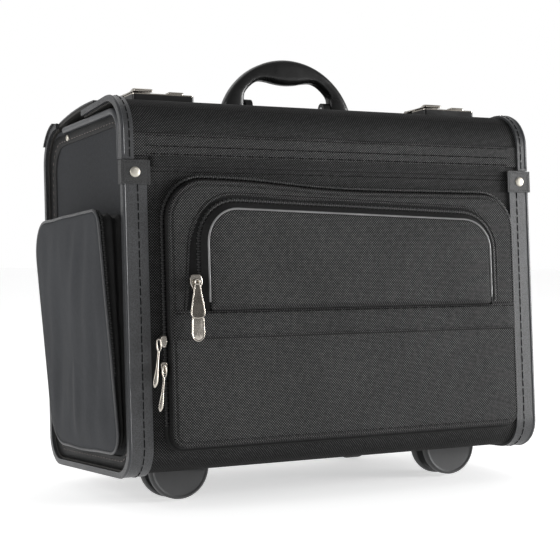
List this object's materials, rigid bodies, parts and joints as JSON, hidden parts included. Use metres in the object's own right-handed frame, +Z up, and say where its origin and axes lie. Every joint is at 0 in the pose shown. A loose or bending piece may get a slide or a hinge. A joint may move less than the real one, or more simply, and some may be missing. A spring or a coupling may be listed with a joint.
{
  "type": "pilot rolling flight case",
  "caption": "Box-shaped fabric flight case with two top lids, carry handle, hasp locks, zipped pockets, rear wheels, front feet and telescopic tow handle.",
  "frame": {"origin": "centre of the bounding box on the floor that the feet and wheels stand on", "axes": "+X along the case to the right seen from the front, +Y from the front pocket to the rear wall, +Z up; the case itself leans back 4 degrees about X"},
  "size_m": [0.482, 0.282, 0.4416],
  "materials": {
    "ballistic_nylon": "coarse basket weave with a slight sheen",
    "end_nylon": "fine matt weave",
    "lining": "smooth woven lining",
    "board": "black-dyed hard fibreboard",
    "trim_vinyl": "grained vinyl, satin",
    "bar_vinyl": "smooth vinyl over steel",
    "nickel": "bright nickel plate",
    "steel": "plain bright steel",
    "zip_teeth": "moulded zip teeth",
    "black_plastic": "moulded plastic, satin",
    "tyre": "solid rubber",
    "tube_aluminium": "anodised, satin"
  },
  "bodies": {
    "case": {"axles": "steel", "body_cover": "ballistic_nylon", "body_lining": "lining", "body_trims": "trim_vinyl", "bottom_board": "board", "end_bars": "bar_vinyl", "end_board_left": "board", "end_board_right": "board", "end_covers": "end_nylon", "foot_left": "black_plastic", "foot_right": "black_plastic", "front_board": "board", "front_pocket": "ballistic_nylon", "hinge_patches": "trim_vinyl", "patch_rivets": "nickel", "pocket_flap": "ballistic_nylon", "rear_board": "board", "side_pocket": "end_nylon", "tow_lower_bracket": "black_plastic", "tow_outer_tubes": "tube_aluminium", "tow_upper_bracket": "black_plastic", "upper_pocket": "ballistic_nylon", "wheel_housing_left": "black_plastic", "wheel_housing_right": "black_plastic", "zip_tracks": "zip_teeth"},
    "front_lid": {"front_lid_board": "board", "front_lid_cover": "ballistic_nylon", "front_lid_trims": "trim_vinyl", "lock_bases": "black_plastic", "lock_plates": "nickel"},
    "rear_lid": {"rear_lid_board": "board", "rear_lid_cover": "ballistic_nylon", "rear_lid_trims": "trim_vinyl", "hasp_plates": "nickel", "hasp_pins": "nickel", "handle_ears": "black_plastic", "handle_pins": "steel"},
    "carry_handle": {"carry_handle": "black_plastic"},
    "wheel_left": {"wheel_hub_left": "black_plastic", "tyre_left": "tyre"},
    "wheel_right": {"wheel_hub_right": "black_plastic", "tyre_right": "tyre"},
    "tow_stage_1": {"tow_middle_tubes": "tube_aluminium"},
    "tow_stage_2": {"tow_inner_tubes": "tube_aluminium", "tow_grip": "black_plastic", "tow_button_spring": "steel"},
    "tow_button": {"tow_button": "black_plastic"},
    "key_cylinder_left": {"key_cylinder_left": "nickel"},
    "lock_slide_left": {"lock_slide_left": "nickel"},
    "hasp_left": {"hasp_left": "nickel"},
    "key_cylinder_right": {"key_cylinder_right": "nickel"},
    "lock_slide_right": {"lock_slide_right": "nickel"},
    "hasp_right": {"hasp_right": "nickel"},
    "front_zip_upper_slider": {"front_zip_upper_slider": "nickel"},
    "front_zip_upper_pull": {"front_zip_upper_pull": "nickel"},
    "front_zip_lower_slider": {"front_zip_lower_slider": "nickel"},
    "front_zip_lower_pull": {"front_zip_lower_pull": "nickel"},
    "upper_zip_slider": {"upper_zip_slider": "nickel"},
    "upper_zip_pull": {"upper_zip_pull": "nickel"}
  },
  "joints": [
    {"name": "rear_lid_open", "type": "hinge", "parent": "case", "child": "rear_lid", "pos_m": [0.00943, 0.08031, 0.37111], "axis": [-1, 0, 0], "range_deg": [0, 105]},
    {"name": "front_lid_open", "type": "hinge", "parent": "case", "child": "front_lid", "pos_m": [0.00943, -0.10565, 0.32517], "axis": [1, 0, 0], "range_deg": [0, 73.5]},
    {"name": "carry_handle_fold", "type": "hinge", "parent": "rear_lid", "child": "carry_handle", "pos_m": [0.00943, 0.00955, 0.39129], "axis": [1, 0, 0], "range_deg": [-80, 80]},
    {"name": "hasp_left_lift", "type": "hinge", "parent": "rear_lid", "child": "hasp_left", "pos_m": [-0.17907, -0.0147, 0.38858], "axis": [-1, 0, 0], "range_deg": [0, 150]},
    {"name": "key_left_turn", "type": "hinge", "parent": "front_lid", "child": "key_cylinder_left", "pos_m": [-0.16057, -0.0396, 0.39092], "axis": [0, 0.0698, 0.9976], "range_deg": [0, 90]},
    {"name": "lock_slide_left_push", "type": "slide", "parent": "front_lid", "child": "lock_slide_left", "axis": [-1, 0, 0], "range_m": [0, 0.004], "stiffness_N_per_m": 300, "springref_m": -0.002},
    {"name": "hasp_right_lift", "type": "hinge", "parent": "rear_lid", "child": "hasp_right", "pos_m": [0.15293, -0.0147, 0.38858], "axis": [-1, 0, 0], "range_deg": [0, 150]},
    {"name": "key_right_turn", "type": "hinge", "parent": "front_lid", "child": "key_cylinder_right", "pos_m": [0.17143, -0.0396, 0.39092], "axis": [0, 0.0698, 0.9976], "range_deg": [0, 90]},
    {"name": "lock_slide_right_push", "type": "slide", "parent": "front_lid", "child": "lock_slide_right", "axis": [-1, 0, 0], "range_m": [0, 0.004], "stiffness_N_per_m": 300, "springref_m": -0.002},
    {"name": "wheel_left_roll", "type": "hinge", "parent": "case", "child": "wheel_left", "pos_m": [-0.11457, 0.08131, 0.027], "axis": [1, 0, 0], "continuous": true},
    {"name": "wheel_right_roll", "type": "hinge", "parent": "case", "child": "wheel_right", "pos_m": [0.13343, 0.08131, 0.027], "axis": [1, 0, 0], "continuous": true},
    {"name": "tow_stage_1_extend", "type": "slide", "parent": "case", "child": "tow_stage_1", "axis": [0, 0.0698, 0.9976], "range_m": [0, 0.24]},
    {"name": "tow_stage_2_extend", "type": "slide", "parent": "tow_stage_1", "child": "tow_stage_2", "axis": [0, 0.0698, 0.9976], "range_m": [0, 0.24]},
    {"name": "tow_button_press", "type": "slide", "parent": "tow_stage_2", "child": "tow_button", "axis": [0, -0.0698, -0.9976], "range_m": [0, 0.004], "stiffness_N_per_m": 400, "springref_m": -0.003, "deforming": ["tow_button_spring"]},
    {"name": "front_zip_upper_slide", "type": "slide", "parent": "case", "child": "front_zip_upper_slider", "axis": [0, 0.0698, 0.9976], "range_m": [0, 0.09]},
    {"name": "front_zip_upper_pull_swing", "type": "hinge", "parent": "front_zip_upper_slider", "child": "front_zip_upper_pull", "pos_m": [-0.19307, -0.12683, 0.16125], "axis": [-1, 0, 0], "range_deg": [0, 100]},
    {"name": "front_zip_lower_slide", "type": "slide", "parent": "case", "child": "front_zip_lower_slider", "axis": [0, 0.0698, 0.9976], "range_m": [-0.045, 0]},
    {"name": "front_zip_lower_pull_swing", "type": "hinge", "parent": "front_zip_lower_slider", "child": "front_zip_lower_pull", "pos_m": [-0.18807, -0.12771, 0.13725], "axis": [-1, 0, 0], "range_deg": [0, 100]},
    {"name": "upper_zip_slide", "type": "slide", "parent": "case", "child": "upper_zip_slider", "axis": [0, 0.0698, 0.9976], "range_m": [-0.014, 0.034]},
    {"name": "upper_zip_pull_swing", "type": "hinge", "parent": "upper_zip_slider", "child": "upper_zip_pull", "pos_m": [-0.15907, -0.1362, 0.21503], "axis": [-1, 0, 0], "range_deg": [0, 100]}
  ],
  "couplings": [
    {"joint": "front_lid_open", "follows": "rear_lid_open", "ratio": 0.7}
  ]
}
